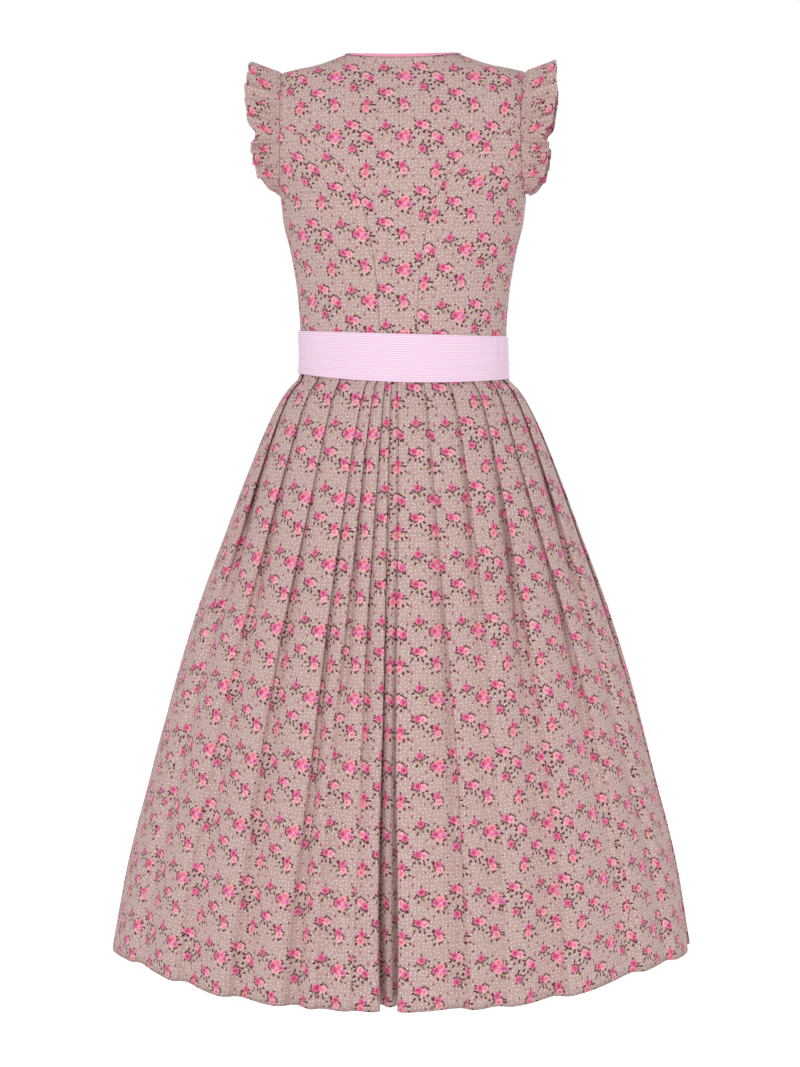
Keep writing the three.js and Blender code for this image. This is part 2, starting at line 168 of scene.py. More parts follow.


# %% [markdown]
# ## The printed cotton
#
# The cotton has small rose sprigs on a dusty pink ground with fine cream pin dots. The
# sprigs are charted in one repeat: bunches of one to four roses, each rose with a ring of
# leaf tips, and five loose leaves to a bunch. A rose is a round spot, a leaf is a spot drawn
# out one way, and the shader finds how far each point is from the nearest spot of a kind.
# The frame is turned and stretched once for each slant, so a spot costs two nodes. The
# print could be painted as an image, but a chart of spots stays crisp close up.

# %% The chart of one repeat, in millimetres, x to the right and y down the cloth
REPEAT = (82, 77)
CORNER = (-10, -27)
ROSE_RADIUS = {"salmon": 4.9, "blush": 4.5, "violet": 3.8, "magenta": 4.3}
BUNCHES = {
    "four": [
        ("salmon", 1.4, -4.6), ("magenta", -4.4, -1.2), ("blush", 0.4, 3.4), ("violet", 5.8, 0.8),
    ],
    "pair": [("magenta", -3.4, -0.6), ("blush", 3.2, 0.8)],
    "tall": [("magenta", 0.8, -4.2), ("salmon", -0.6, 3.6)],
    "one": [("magenta", 0, 0)],
}
# Each sprig: its bunch, its middle, how far it is turned, and the way its loose leaves point.
# Round each rose a leaf tip stands at every slant on its leafy side, and at one in four beyond.
SPRIGS = [
    ("four", 1, 0, 0, 35),
    ("pair", 22, -15, 10, 80),
    ("pair", 40, 0, 200, 120),
    ("one", 61, -14, 0, 75),
    ("one", 22, 14, 0, 340),
    ("pair", 61, 21, 5, 100),
    ("pair", 0, 36, 65, 150),
    ("tall", 38, 38, 0, 60),
]
BUNCH_TURN = 150
SLANT = 30
TIP = (1.8, 1.1)
TIP_AWAY = (0.9, 1.6)
LEAFY_SIDE = 80
LEAF = (2.1, 1.25)
LEAF_AWAY = (9.2, 11.6)
LEAF_FAN = (-64, -30, 0, 32, 66)
BUD = (1.3, 1.0)
BUDS = [
    (10.6, 12.2), (11, 26), (-6.6, 14.6), (30.4, 26.4), (49.6, 12), (51, 33), (68, 5.2), (66, 41),
    (51, -22), (12, -23), (37, -20.6), (23, 36), (52, 46), (-4.6, -13.6), (47, -10), (11, 45),
]
BLOSSOM = (1.2, 0.9)
BLOSSOM_BESIDE = (0.6, -2.2)


def turned(x, y, degrees):
    """A place turned about the middle."""
    angle = math.radians(degrees)
    return x * math.cos(angle) - y * math.sin(angle), x * math.sin(angle) + y * math.cos(angle)


def into_repeat(x, y):
    """The same place in the one repeat that is charted."""
    return (x - CORNER[0]) % REPEAT[0] + CORNER[0], (y - CORNER[1]) % REPEAT[1] + CORNER[1]


roses = {kind: [] for kind in ROSE_RADIUS}
tips, leaves, olive_leaves = ({turn: [] for turn in range(0, 180, SLANT)} for _ in range(3))
for number, (bunch, middle_x, middle_y, turn, fan) in enumerate(SPRIGS):
    placed = []
    for kind, x, y in BUNCHES[bunch]:
        x, y = turned(x, y, turn)
        placed.append((kind, middle_x + x, middle_y + y))
    for count, (kind, x, y) in enumerate(placed):
        roses[kind].append(into_repeat(x, y))
        for step in range(360 // SLANT):
            off_side = (SLANT * step - fan - BUNCH_TURN * count) % 360
            if min(off_side, 360 - off_side) > LEAFY_SIDE and (step + number) % 4:
                continue
            out_x, out_y = turned(ROSE_RADIUS[kind] + TIP_AWAY[step % 2], 0, SLANT * step)
            spot = (x + out_x, y + out_y)
            if all(math.dist(spot, (u, v)) > ROSE_RADIUS[other] for other, u, v in placed):
                tips[SLANT * (step + step % 3) % 180].append(into_repeat(*spot))
    for place, aside in enumerate(LEAF_FAN):
        out_x, out_y = turned(LEAF_AWAY[place % 2], 0, fan + aside)
        found = olive_leaves if place == 2 and number % 3 == 0 else leaves
        slant = round((fan + aside) / SLANT) * SLANT % 180
        found[slant].append(into_repeat(middle_x + out_x, middle_y + out_y))
blossoms = [into_repeat(x + BLOSSOM_BESIDE[0], y + BLOSSOM_BESIDE[1]) for x, y in BUDS[::2]]
print("leaf tips round the roses", sum(len(spots) for spots in tips.values()))


# %% Node helpers
def paint(code):
    """A colour from its six-figure code."""
    parts = [int(code[i : i + 2], 16) / 255 for i in (0, 2, 4)]
    return tuple(((c + 0.055) / 1.055) ** 2.4 if c > 0.04045 else c / 12.92 for c in parts) + (1,)


def add(tree, kind, inputs, output=0, **settings):
    """Adds a shader node, sets it up and returns one of its outputs."""
    made = tree.nodes.new("ShaderNode" + kind)
    for name, value in settings.items():
        setattr(made, name, value)
    for place, value in inputs.items():
        if isinstance(value, bpy.types.NodeSocket):
            tree.links.new(value, made.inputs[place])
        else:
            made.inputs[place].default_value = value
    return made.outputs[output]


def arithmetic(tree, operation, *values):
    """A sum, product or other measure of some values."""
    return add(tree, "Math", dict(enumerate(values)), operation=operation)


def blended(tree, factor, a, b):
    """Colour a where the factor is 0 and b where it is 1."""
    return add(tree, "Mix", {0: factor, 6: a, 7: b}, output=2, data_type="RGBA")


def noise(tree, place, scale, detail, output="Fac"):
    """Soft unevenness over the flat cloth."""
    inputs = {"Vector": place, "Scale": scale, "Detail": detail}
    return add(tree, "TexNoise", inputs, output=output, noise_dimensions="2D")


def cells(tree, place, pitch, scatter):
    """How far a point is from the middle of its cell, in cells."""
    inputs = {"Vector": place, "Scale": 1 / pitch, "Randomness": scatter}
    return add(tree, "TexVoronoi", inputs, output="Distance", voronoi_dimensions="2D")


def nearest(tree, place, spots, size, turn=0, found=None):
    """How far a point is from the nearest spot: 1 at the spot's rim."""
    angle = math.radians(turn)
    stretched = {0: place, "Rotation": (0, 0, angle), "Scale": (size[0], size[1], 1)}
    local = add(tree, "Mapping", stretched, vector_type="TEXTURE")
    for x, y in spots:
        along = (x * math.cos(angle) + y * math.sin(angle)) / size[0]
        across = (y * math.cos(angle) - x * math.sin(angle)) / size[1]
        ends = {0: local, 1: (along, across, 0)}
        away = add(tree, "VectorMath", ends, output="Value", operation="DISTANCE")
        found = away if found is None else arithmetic(tree, "MINIMUM", found, away)
    return found


def spread(tree, value, low, high):
    """0 where a value is low and 1 where it is high."""
    return add(tree, "MapRange", {0: value, 1: low, 2: high, 3: 0.0, 4: 1.0})


def inside(tree, reach, rim=1.0, soft=0.14):
    """1 inside the rim and 0 outside, with a soft edge."""
    return spread(tree, reach, rim + soft, rim - soft)


def new_material(name, roughness):
    """An empty material: itself, its nodes, its shader and the flat cloth's map."""
    material = bpy.data.materials.new(name)
    material.use_nodes = True
    tree = material.node_tree
    shader = tree.nodes["Principled BSDF"]
    shader.inputs["Roughness"].default_value = roughness
    return material, tree, shader, add(tree, "UVMap", {}, uv_map="flat")


def relief(tree, shader, height, strength, deep):
    """A fine relief in the cloth, deep in millimetres."""
    inputs = {"Strength": strength, "Distance": deep * MM, "Height": height}
    tree.links.new(add(tree, "Bump", inputs), shader.inputs["Normal"])


# %% Printed cotton
INK_BLEED, INK_GRAIN = 2.4, 0.55
GROUND_CLOUD = 0.09
DOT_PITCH, DOT_SCATTER, DOT_RADIUS, DOT_SOFT = 4.6, 0.6, 0.16, 0.03
PETAL_SIZE = 2.6
PETAL_CONTRAST, PETAL_DARK = 1.3, -0.55
THREAD_TURN = 0.55
PETALS = {
    "salmon": ("E7627F", "FCA9B0"),
    "blush": ("EA7391", "FDB9C2"),
    "violet": ("C04486", "EE94BC"),
    "magenta": ("BE2F68", "F07AA8"),
}


def printed_cotton(name, fade):
    """The print. fade is 0 on the face, and more on the reverse, where it is washed out."""
    material, tree, shader, flat = new_material(name, 0.85)
    cloth_mm = add(tree, "VectorMath", {0: flat, "Scale": 1000.0}, operation="SCALE")
    bleed = noise(tree, cloth_mm, INK_GRAIN, 2, "Color")
    bleed = add(tree, "VectorMath", {0: bleed, 1: (0.5, 0.5, 0.5)}, operation="SUBTRACT")
    bleed = add(tree, "VectorMath", {0: bleed, 1: (INK_BLEED, INK_BLEED, 0)}, operation="MULTIPLY")
    inked = add(tree, "VectorMath", {0: cloth_mm, 1: bleed}, operation="ADD")
    low = (CORNER[0], CORNER[1], -1)
    high = (CORNER[0] + REPEAT[0], CORNER[1] + REPEAT[1], 1)
    place = add(tree, "VectorMath", {0: inked, 1: high, 2: low}, operation="WRAP")

    cloud = noise(tree, cloth_mm, GROUND_CLOUD, 3)
    colour = blended(tree, cloud, paint("BEA09A"), paint("CCAFA9"))
    dot = inside(tree, cells(tree, cloth_mm, DOT_PITCH, DOT_SCATTER), DOT_RADIUS, DOT_SOFT)
    colour = blended(tree, dot, colour, paint("F3E5DF"))

    for chart, size, code in (
        (tips, TIP, "6C3A3A"),
        (leaves, LEAF, "653534"),
        (olive_leaves, LEAF, "80733F"),
    ):
        reach = None
        for turn, spots in chart.items():
            if spots:
                reach = nearest(tree, place, spots, size, turn, reach)
        colour = blended(tree, inside(tree, reach), colour, paint(code))

    petals = cells(tree, inked, PETAL_SIZE, 1.0)
    open_petal = arithmetic(tree, "MULTIPLY_ADD", petals, PETAL_CONTRAST, PETAL_DARK)
    for kind, (heart, rim) in PETALS.items():
        radius = ROSE_RADIUS[kind]
        reach = nearest(tree, place, roses[kind], (radius, radius))
        shade = spread(tree, arithmetic(tree, "ADD", reach, open_petal), 0.1, 0.8)
        rose = blended(tree, shade, paint(heart), paint(rim))
        colour = blended(tree, inside(tree, reach, 0.97, 0.1), colour, rose)
    for spots, size, turn, code in ((blossoms, BLOSSOM, 40, "DF6E8E"), (BUDS, BUD, 70, "86404A")):
        reach = nearest(tree, place, spots, size, turn)
        colour = blended(tree, inside(tree, reach), colour, paint(code))
    if fade:
        colour = blended(tree, fade, colour, paint("D9C6C2"))
    tree.links.new(colour, shader.inputs["Base Color"])

    threads = {0: cloth_mm, "Scale": 2 * math.pi / THREAD_TURN}
    threads = add(tree, "VectorMath", threads, operation="SCALE")
    threads = add(tree, "VectorMath", {0: threads}, operation="SINE")
    warp, weft, _ = add(tree, "SeparateXYZ", {0: threads}).node.outputs
    relief(tree, shader, arithmetic(tree, "MULTIPLY", warp, weft), 0.12, 0.2)
    shader.inputs["Specular IOR Level"].default_value = 0.25
    shader.inputs["Sheen Weight"].default_value = 0.08
    shader.inputs["Sheen Roughness"].default_value = 0.5
    return material


cotton = printed_cotton("printed_cotton", 0)
cotton_reverse = printed_cotton("printed_cotton_reverse", 0.55)
print("print nodes", len(cotton.node_tree.nodes))


# %% [markdown]
# ## Sash cotton and pink edging
#
# The sash is a smooth cotton with fine cords woven along it, pale lilac pink with whiter
# threads between. The neck is edged with plain pink cotton. The cords could be ridges in the
# mesh, but at this pitch a wave in the shader shows as much and leaves the cloth light.

# %% Striped and plain cotton
CORD_PITCH = 2.45


def striped_cotton(name):
    """The sash's cotton, with its cords along the cloth."""
    material, tree, shader, flat = new_material(name, 0.6)
    _, up, _ = add(tree, "SeparateXYZ", {0: flat}).node.outputs
    phase = arithmetic(tree, "MULTIPLY", up, 2 * math.pi / (CORD_PITCH * MM))
    wave = arithmetic(tree, "SINE", phase)
    stripe = spread(tree, wave, -0.5, 0.7)
    pink = blended(tree, noise(tree, flat, 60, 2), paint("F5C8EC"), paint("FACDE6"))
    colour = blended(tree, stripe, pink, paint("FDEBFB"))
    tree.links.new(colour, shader.inputs["Base Color"])
    relief(tree, shader, wave, 0.25, 0.4)
    shader.inputs["Specular IOR Level"].default_value = 0.35
    shader.inputs["Sheen Weight"].default_value = 0.1
    return material


def plain_cotton(name):
    """The edging's pink cotton, a little uneven."""
    material, tree, shader, flat = new_material(name, 0.8)
    cloud = noise(tree, flat, 900, 2)
    colour = blended(tree, cloud, paint("F093B4"), paint("F7B0C8"))
    tree.links.new(colour, shader.inputs["Base Color"])
    relief(tree, shader, cloud, 0.2, 0.2)
    return material


sash_cotton = striped_cotton("striped_cotton")
edging_cotton = plain_cotton("pink_cotton")


def finish_piece(piece, node, materials):
    """Gives a piece its materials and its place in the frame."""
    for material in materials:
        piece.data.materials.append(material)
    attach(piece, "root")
    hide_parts(node)


# %% [markdown]
# ## The figure
#
# The bodice and the skirt hang on one general figure. Its outline at each height is given by
# a half width and two depths, to the back and to the front. A place on it is an angle round
# from the centre back over the wearer's right side, and a height. square says how far a level
# is from an oval. A body could be sculpted and the cloth wrapped on it, but two tables keep
# every measure at hand.

# %% The figure
BODY = table(
    "height half back front square",
    [
        (-372, 123.6, 95, 97, 2.1),
        (-330, 123.4, 94, 98, 2.15),
        (-289, 126, 95, 107, 2.2),
        (-259, 130, 97, 119, 2.2),
        (-226, 136.5, 100, 131, 2.25),
        (-199, 143.2, 102, 134, 2.3),
        (-172, 146.4, 104, 129, 2.3),
        (-140, 160, 105, 118, 2.3),
        (-100, 172, 101, 106, 2.3),
        (-60, 171, 88, 90, 2.3),
        (-33, 158, 74, 73, 2.3),
        (-21, 144, 67, 65, 2.3),
        (-13, 106, 63, 60, 2.3),
        (0, 68, 60, 56, 2.3),
    ],
)
SKIRT = table(
    "drop half back front",
    [
        (0, 123.6, 95, 97),
        (9, 124.6, 96.5, 98.5),
        (14, 127, 99, 100.5),
        (22, 135.5, 106, 106),
        (38, 147, 117, 116),
        (73, 164.5, 133, 131),
        (126, 186, 152, 148),
        (204, 215, 180, 175),
        (290, 247, 209, 203),
        (380, 275, 234, 228),
        (490, 303.5, 261, 254),
        (600, 331, 285, 278),
        (699, 347.5, 300, 293),
    ],
)
WAIST_SEAM = -372
SKIRT_LENGTH = 699
HEM_DIP_BACK = 11.5
HEM_TILT = 2
HEM_RISE, RISE_TURN, RISE_SPREAD = 14, 60, 22
FLARE_LEFT, KICK_LEFT, SWELL_LEFT = 2, 6, 3

body = {name: curve(BODY, "height", name) for name in ("half", "back", "front", "square")}
skirt = {name: curve(SKIRT, "drop", name) for name in ("half", "back", "front")}


def body_points(turn, height):
    """Points of the body at angles and heights, in millimetres."""
    across = np.sin(np.radians(turn))
    toward_back = np.cos(np.radians(turn)) >= 0
    depth = np.where(toward_back, body["back"](height), -body["front"](height))
    away = np.clip(1 - np.abs(across) ** body["square"](height), 0, None) ** 0.5
    x = -body["half"](height) * across
    return np.stack((x, depth * away, height + 0 * x), axis=-1)


def body_normals(turn, height):
    """Outward directions there."""
    small = 0.2
    around = body_points(turn + small, height) - body_points(turn - small, height)
    up = body_points(turn, np.minimum(height + small, 0)) - body_points(turn, height - small)
    normal = np.cross(around, up)
    return normal / np.linalg.norm(normal, axis=-1, keepdims=True)


def skirt_points(turn, drop, lift=0.0):
    """Points of the skirt's outline at angles and a drop, raised off it by so much.

    The hem hangs lowest at the back and rises on the way to the sides. The left side swells
    a little, flares and kicks out at the hem.
    """
    angle = np.radians(turn)
    half = skirt["half"](drop)
    depth = np.where(np.cos(angle) >= 0, skirt["back"](drop), skirt["front"](drop))
    out = np.stack((-np.sin(angle) / half, np.cos(angle) / depth), axis=-1)
    out /= np.linalg.norm(out, axis=-1, keepdims=True)
    down = drop / SKIRT_LENGTH
    swell = SWELL_LEFT * np.clip(np.sin(np.pi * down), 0, None) ** 0.5
    flare = FLARE_LEFT * down + KICK_LEFT * down**6 + swell
    flare *= np.clip(-np.sin(angle), 0, None) ** 2
    x = -half * np.sin(angle) + lift * out[..., 0] + flare
    y = depth * np.cos(angle) + lift * out[..., 1]
    aside = np.degrees(np.arcsin(np.clip(np.abs(np.sin(angle)), 0, 1)))
    rise = HEM_RISE * np.exp(-(((aside - RISE_TURN) / RISE_SPREAD) ** 2))
    dip = HEM_DIP_BACK * np.clip(np.cos(angle), 0, None) - HEM_TILT * np.sin(angle) - rise
    return np.stack((x, y, WAIST_SEAM - drop - dip * down), axis=-1)


# %% [markdown]
# ## Pleats as turns of the cloth
#
# Cloth doesn't stretch, so a pleat is drawn by following the thread. It runs under, turns
# back on itself round a small bend, runs back, and turns again to go on over the top. The
# same drawing serves the tight pleat at the waist and the soft flute that it opens into at
# the hem: where little cloth is left to take up, the turn isn't a whole one. A cloth
# simulation would fall where it likes, and here each fold has its own place.
#
# Each fold has a place round the skirt at the waist, soon below it and at the hem. side is 1
# where the panel after it lies on top and -1 where the panel before it does: every fold faces
# the centre back. slack is the cloth still taken up at the hem, bend how round the fold is
# there, opens how far down the skirt it has fallen open, and late how long it stays sharp on
# the way.

# %% The folds
FOLDS = table(
    "waist lower hem side slack bend opens late",
    [
        (-97, -92, -92, -1, 1, 8, 0.7, 3),
        (-78, -63, -60, -1, 2.4, 11, 0.5, 2.5),
        (-53, -46, -45, -1, 5, 11, 0.6, 2.5),
        (-35, -30, -31.5, -1, 6.5, 12, 0.8, 2.5),
        (-17, -16.5, -19, -1, 6, 13, 1, 2.5),
        (-11.5, -11.5, -13.5, -1, 2.4, 10, 0.7, 2),
        (-6.6, -6.2, -6.3, -1, 1.8, 7, 0.9, 2),
        (-3.6, -2.4, -1, -1, 66, 9.5, 1, 1.9),
        (-0.6, 1.6, 2, 1, 66, 9.5, 1, 1.9),
        (14, 14, 16, 1, 5.5, 12, 1, 2.5),
        (28, 28, 22.5, 1, 3, 12, 0.6, 2),
        (45, 41.5, 35.5, 1, 6.5, 12, 0.6, 2),
        (62, 52, 56, 1, 4, 11, 0.85, 2.5),
        (80, 68, 69, 1, 2, 11, 0.55, 2.5),
        (97, 92, 92, 1, 1, 8, 0.7, 3),
        (111, 107, 107, 1, 4, 13, 0.5, 2.5),
        (126, 121, 122, 1, 3.5, 14, 0.8, 2.5),
        (140, 136, 137, 1, 4.5, 14, 0.6, 2.5),
        (153, 150, 151, 1, 3, 12, 0.6, 2),
        (166, 164, 165, 1, 5, 11, 1, 2.5),
        (194, 196, 195, -1, 5, 11, 1, 2.5),
        (207, 210, 209, -1, 3, 12, 0.6, 2),
        (220, 224, 223, -1, 4.5, 14, 0.6, 2.5),
        (234, 239, 238, -1, 3.5, 14, 0.8, 2.5),
        (249, 253, 253, -1, 4, 13, 0.6, 2.5),
        (263, 268, 268, -1, 1, 8, 0.7, 3),
    ],
)
SIDE_FOLD = int(np.flatnonzero(FOLDS["waist"] == 97)[0])
FOLD_SETTLES = 40
BEND_AT_WAIST = 1.0
SHORTEST_RUN, LONGEST_SHARE = 1.5, 0.9
SWAY, SWAY_PITCH, SWAY_APART = 2.2, 83, 2.4
SAG_EARLY = 0.3
BEND_STEPS = 7
RUN_PARTS = np.array([0.25, 0.49, 0.51, 0.75])
PANEL_STEPS = 15
TURNS = np.linspace(0, np.pi, 200)
ROUND = np.linspace(-130, 310, 1761)


def half_fold(spare, bend, longest):
    """A fold's path from its middle out to the top, and where its visible edge is."""
    taken = 2 * bend * (TURNS - np.sin(TURNS)) + SHORTEST_RUN * (1 - np.cos(TURNS))
    turn = np.interp(spare, taken, TURNS)
    run = np.clip((spare - 2 * np.pi * bend) / 2, SHORTEST_RUN, max(longest, SHORTEST_RUN))
    angles = np.linspace(turn, 0, BEND_STEPS + 1)
    along = run / 2 * np.cos(turn) + bend * (np.sin(turn) - np.sin(angles))
    up = run / 2 * np.sin(turn) + bend * (np.cos(angles) - np.cos(turn))
    edge = run / 2 * np.cos(turn) - bend * (1 - np.sin(turn)) * (turn > np.pi / 2)
    return along, up, edge


def fold_places(drop):
    """The angle of each fold's visible edge at a drop."""
    settled = mix(FOLDS["lower"], FOLDS["hem"], drop / SKIRT_LENGTH)
    return mix(settled, FOLDS["waist"], np.exp(-drop / FOLD_SETTLES))


def along_outline(drop):
    """The running length of the outline at the angles in ROUND."""
    return lengths(skirt_points(ROUND, drop))


hem_widths = np.diff(np.interp(fold_places(SKIRT_LENGTH), ROUND, along_outline(SKIRT_LENGTH)))
panel_cloth = hem_widths + (FOLDS["slack"][1:] + FOLDS["slack"][:-1]) / 2
panel_centre = np.cumsum(panel_cloth) - panel_cloth / 2
print("cloth round the whole skirt", round(panel_cloth.sum()), "mm")


def pleated_row(drop, inset=0.0):
    """One row of the skirt: its points and how far along the flat cloth each one is.

    The row is worked out as t along the outline and h above it, then laid round the figure.
    A row with an inset lies that far inside the cloth, for the hem's turn.
    """
    side = FOLDS["side"]
    count = len(side)

    # Where each fold's edge is, and how much cloth the fold takes up.
    outline = along_outline(drop)
    place = np.interp(fold_places(drop), ROUND, outline)
    width = np.diff(place)
    down = drop / SKIRT_LENGTH
    number = np.arange(count) % (count - 1)
    place = place + SWAY * down * np.sin(drop / SWAY_PITCH + SWAY_APART * number)
    spare_cloth = np.clip(hem_widths - width, 0, None)
    spare_cloth = np.concatenate(([spare_cloth[-1]], spare_cloth, [spare_cloth[0]]))
    opened = np.clip(down / FOLDS["opens"], 0, 1)
    spare = FOLDS["slack"] + (spare_cloth[1:] + spare_cloth[:-1]) / 2 * (1 - smooth(opened))
    bend = mix(BEND_AT_WAIST, FOLDS["bend"], opened ** FOLDS["late"])
    around = np.concatenate(([width[-1]], width, [width[0]]))
    room = np.where(side > 0, around[1:], around[:-1])

    # Each fold: its places along and above the outline, and its height.
    folds = []
    for k in range(count):
        along, up, edge = half_fold(spare[k], bend[k], LONGEST_SHARE * room[k] - 2 * bend[k])
        t = np.concatenate((-along[::-1], along))
        h = np.concatenate((-up[::-1], up)) - up[-1]
        if side[k] < 0:
            t, h = -t[::-1], h[::-1]
        folds.append([t + place[k] - side[k] * edge, h, 2 * up[-1]])

    def sag(k, t):
        """How far panel k lies below the outline at t, from one fold's foot to the next."""
        if not 0 <= k < count - 1:
            return 0 * t
        start = place[k] if side[k] > 0 else max(place[k], folds[k][0][-1])
        end = place[k + 1] if side[k + 1] < 0 else min(place[k + 1], folds[k + 1][0][0])
        q = np.clip((t - start) / (end - start), 0, 1)
        left = folds[k][2] if side[k] < 0 else 0
        right = folds[k + 1][2] if side[k + 1] > 0 else 0
        return -left * sink(1 - q) - right * sink(q)

    def sink(q):
        """The share of that at part q of the way to the fold, softer lower down."""
        return mix(q**3, smooth(q) * mix(SAG_EARLY, 1, q), down)

    # The folds sink with the panel that lies on top of them.
    for k in range(count):
        t, h, _ = folds[k]
        over = k if side[k] > 0 else k - 1
        limit = np.maximum(t, place[k]) if side[k] > 0 else np.minimum(t, place[k])
        folds[k][1] = h + sag(over, limit)

    # One line for each panel, from the middle of one fold to the middle of the next.
    line_t, line_h, line_u = [], [], []
    middle = BEND_STEPS + 1
    for k in range(count - 1):
        t = np.linspace(folds[k][0][-1], folds[k + 1][0][0], PANEL_STEPS + 2)[1:-1]
        h = sag(k, t)
        if side[k] < 0:
            h = np.where(t < place[k], sag(k - 1, t) - folds[k][2], h)
        if side[k + 1] > 0:
            h = np.where(t > place[k + 1], sag(k + 1, t) - folds[k + 1][2], h)
        t = np.concatenate((folds[k][0][middle:], t, folds[k + 1][0][:middle]))
        h = np.concatenate((folds[k][1][middle:], h, folds[k + 1][1][:middle]))
        u = lengths(np.stack((t, h), axis=-1))
        line_t.append(t)
        line_h.append(h)
        line_u.append(u - u[-1] / 2 + panel_centre[k])

    # The lines are joined by the hidden runs, and the print is cut in the middle of a run.
    row = []
    cut = RUN_PARTS > 0.5
    for line, between in ((line_t, RUN_PARTS), (line_h, RUN_PARTS), (line_u, cut)):
        joined = [line[0]]
        for after in line[1:]:
            joined.append(mix(joined[-1][-1], after[0], between))
            joined.append(after)
        row.append(np.concatenate(joined))
    t, h, u = row
    if inset:
        step_t, step_h = np.gradient(t), np.gradient(h)
        step = np.hypot(step_t, step_h)
        t, h = t + inset * step_h / step, h - inset * step_t / step
    return skirt_points(np.interp(t, outline, ROUND), drop, h), u


# %% [markdown]
# ## The skirt
#
# A maker cuts the skirt as two straight widths, a back and a front, joined at the side seams
# under a fold. Row after row is drawn from the waist down to the hem, where the cloth turns
# up on the inside. The rows keep their place on the flat cloth, so the print on each panel
# runs straight down it, and is cut where the cloth goes under.

# %% The skirt
HEM_TURN, HEM_INSET = 26, 1.3
SKIRT_ROWS, CLOSER_AT_WAIST = 92, 1.25
FIRST_DROP = 0.0002
CLOTH_PER_DROP = 1.055

drops = SKIRT_LENGTH * np.linspace(FIRST_DROP, 1, SKIRT_ROWS) ** CLOSER_AT_WAIST
row_plan = [(drop, 0.0, drop) for drop in drops]
for up in (0.3, 1.6, 6, 14, HEM_TURN):
    row_plan.append((SKIRT_LENGTH - up, HEM_INSET, SKIRT_LENGTH + up))
rows = [pleated_row(drop, inset) for drop, inset, _ in row_plan]
skirt_shape = np.array([points for points, _ in rows])
skirt_u = np.array([u for _, u in rows])
skirt_v = np.array([down * CLOTH_PER_DROP for _, _, down in row_plan])


def on_cloth(u):
    """Places on the flat cloth for columns of the skirt at u."""
    return np.stack(np.broadcast_arrays(u, skirt_v[:, None]), axis=-1)


skirt_flat = on_cloth(skirt_u)

fold_columns = 2 * (BEND_STEPS + 1) + PANEL_STEPS + len(RUN_PARTS)
seam_column = SIDE_FOLD * fold_columns - len(RUN_PARTS) // 2
print("rows and columns", skirt_shape.shape[:2], "side seam at column", seam_column)


# %% Cut the skirt into its back and its front
SEAM_GAP = 0.3
CLOSING_BACK, CLOSING_FRONT = np.array([0.5, 0.75]), np.array([0.25, 0.5])


def parted(points):
    """Both edges of a piece drawn back from the seam by half its gap."""
    points = points.copy()
    for edge, inner in ((0, 1), (-1, -2)):
        toward = points[:, inner] - points[:, edge]
        toward /= np.linalg.norm(toward, axis=-1, keepdims=True)
        points[:, edge] += toward * SEAM_GAP / 2
    return points


def closing(parts):
    """Columns from the skirt's last one round to its first, at parts of the way."""
    return mix(skirt_shape[:, -1:], skirt_shape[:, :1], parts[None, :, None])


join = np.linalg.norm(skirt_shape[:, 0] - skirt_shape[:, -1], axis=-1)[:, None]
halves = {
    "skirt_back": (
        (closing(CLOSING_BACK), skirt_shape[:, : seam_column + 1]),
        (on_cloth(skirt_u[:, :1] + join * (CLOSING_BACK - 1)), skirt_flat[:, : seam_column + 1]),
    ),
    "skirt_front": (
        (skirt_shape[:, seam_column:], closing(CLOSING_FRONT)),
        (skirt_flat[:, seam_column:], on_cloth(skirt_u[:, -1:] + join * CLOSING_FRONT)),
    ),
}
for name, (points, flat) in halves.items():
    points, flat = np.concatenate(points, axis=1), np.concatenate(flat, axis=1)
    piece = cloth(name + "_cloth", parted(points)[::-1], flat[::-1])
    finish_piece(piece, name, (cotton, cotton_reverse))

# %% [markdown]
# ## The bodice panels
#
# The bodice is cut in panels that curve over the body. Each is a grid of levels and of
# places across, and its edges turn in a little at the seams, where stitches pull the cloth.
# One tube cut open at the seams would look alike, but separate panels carry the print in
# their own grain, as they do on the real dress. The creases of a worn bodice are listed one
# by one: each is a soft ridge or trough that starts and ends somewhere, with a width and a
# height of its own.

# %% Seams, armholes and neck
BACK_SEAM = table(
    "height half",
    [
        (-372, 21.5), (-315, 22), (-270, 25), (-205, 34), (-168, 47), (-140, 62),
        (-120, 82), (-106, 104), (-96, 122), (-90, 134), (-86, 141.6),
    ],
)
FRONT_SEAM = table(
    "height half",
    [
        (-372, 36), (-315, 40), (-259, 53), (-205, 67), (-172, 75), (-145, 90),
        (-125, 110), (-111, 128), (-102, 141.6),
    ],
)
ARMHOLE = table(
    "height half",
    [(-172, 146), (-140, 142.5), (-95, 141.5), (-50, 142), (-27, 143.4), (-21, 144.5)],
)
BACK_SEAM_TOP = -86
FRONT_SEAM_TOP = -102
ARMHOLE_MIDDLE = -95
SHOULDER_POINT = -21
FRONT_TOP = -1.5
NECK_HALF = 68
NECK_DROP_FRONT = 95
NECK_DIP_BACK = 7
NECK_DIP_FADES = 50
NEARLY_WIDEST, SIDE_TURN = 0.99999, 89.8
back_seam = curve(BACK_SEAM, "height", "half")
front_seam = curve(FRONT_SEAM, "height", "half")
armhole_half = curve(ARMHOLE, "height", "half")


def turn_at(height, half):
    """The angle from the centre at which a level is so far out, up to the side seam."""
    widest = np.minimum(half, armhole_half(height)) / body["half"](height)
    turn = np.degrees(np.arcsin(np.clip(widest, 0, 1)))
    return np.where(widest >= NEARLY_WIDEST, SIDE_TURN, turn)


def neck_half(height):
    """Half the width of the neck opening at a height of the front."""
    down = np.clip(-height / NECK_DROP_FRONT, 0, 1)
    return np.maximum(SEAM_GAP / 2, NECK_HALF * np.sqrt(1 - down * down))
